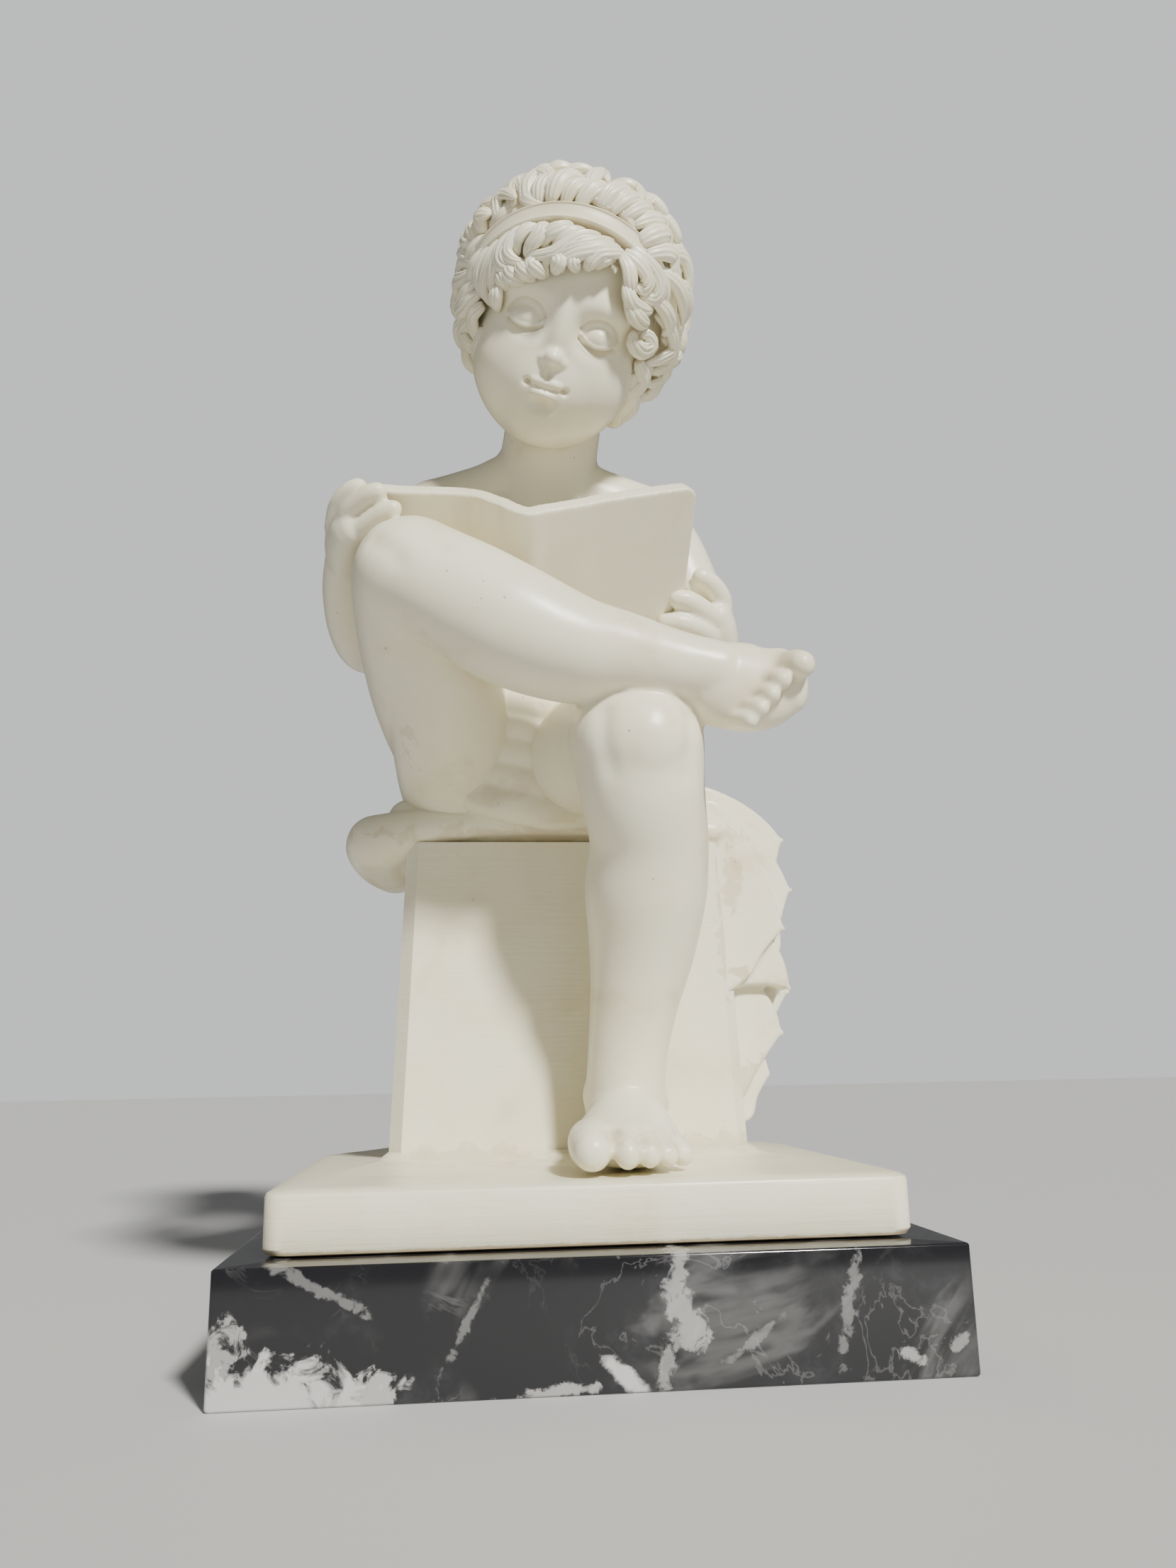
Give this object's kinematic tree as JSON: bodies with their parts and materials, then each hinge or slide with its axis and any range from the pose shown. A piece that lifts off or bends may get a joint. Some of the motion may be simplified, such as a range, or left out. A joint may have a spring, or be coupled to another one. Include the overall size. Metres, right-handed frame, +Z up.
{
  "type": "child reading statue",
  "caption": "Ivory cast statuette of a seated child in a hair band, one leg crossed, reading an open book, on a draped block and slab over a black marble plinth.",
  "frame": {"origin": "middle of the plinth's underside, where the statue stands", "axes": "+Z up to the crown of the head, -Y out of the front, towards the person looking at it, +X to that person's right"},
  "size_m": [0.15, 0.128, 0.3216],
  "materials": {
    "statue": "ivory alabaster-like casting, satin, with beige stain in the hollows",
    "marble_plinth": "polished black marble with white and grey veins, honed sides"
  },
  "bodies": {
    "root": {"statue": "statue", "marble_plinth": "marble_plinth"}
  },
  "joints": []
}
